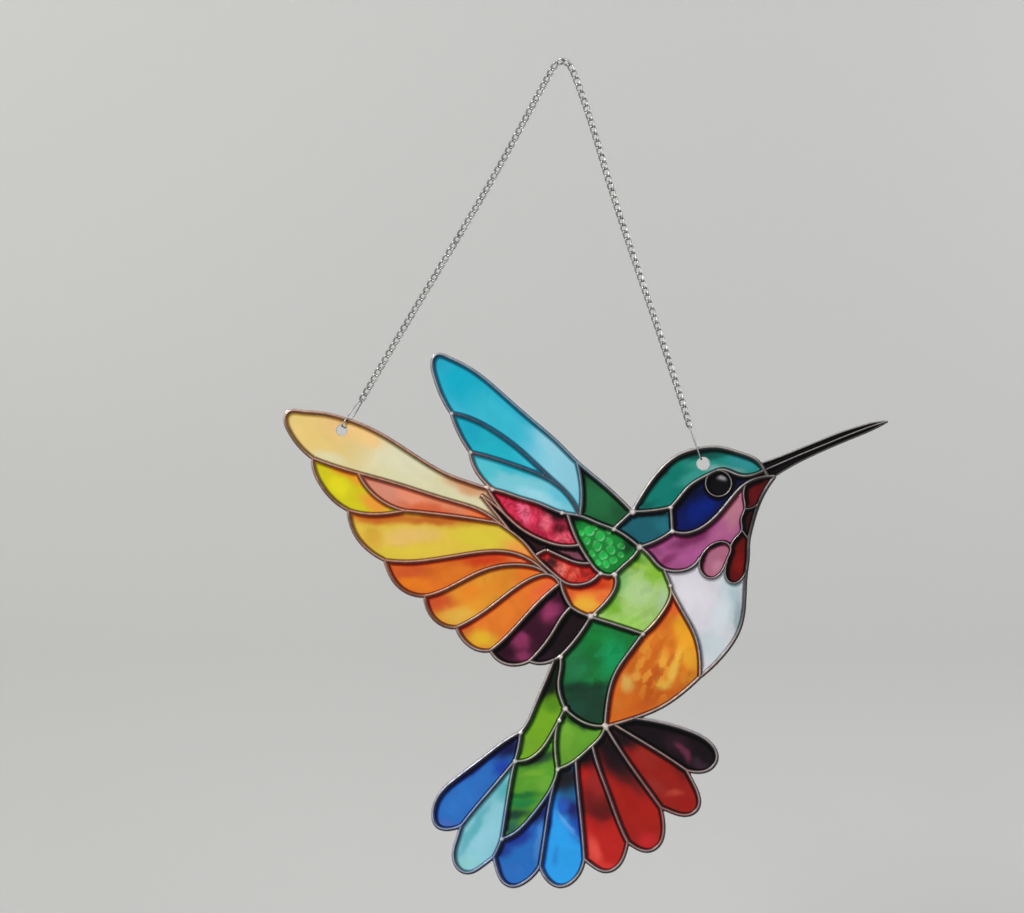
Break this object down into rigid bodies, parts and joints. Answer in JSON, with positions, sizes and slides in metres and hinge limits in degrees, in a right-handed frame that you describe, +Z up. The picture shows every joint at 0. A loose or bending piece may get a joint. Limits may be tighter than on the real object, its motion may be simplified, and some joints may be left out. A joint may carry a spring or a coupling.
{
  "type": "acrylic suncatcher",
  "caption": "Flat clear acrylic hummingbird in stained-glass style, with raised dark lines and coloured panes, hung by a curb chain from two drilled holes.",
  "frame": {"origin": "top of the chain, at the middle of the wire that a hook or nail carries", "axes": "+Z up along the drop of the hanging piece, -Y out of the printed front face towards the viewer, +X to the viewer's right, where the beak points"},
  "size_m": [0.2404, 0.0053, 0.33],
  "materials": {
    "printed_acrylic": "clear acrylic with see-through print in many colours and dark grey raised lines, glossy",
    "chain_steel": "grey steel, satin to bright",
    "loop_steel": "grey steel wire, satin"
  },
  "bodies": {
    "root": {"acrylic_panel": "printed_acrylic", "chain": "chain_steel", "wing_loop": "loop_steel", "head_loop": "loop_steel"}
  },
  "joints": []
}
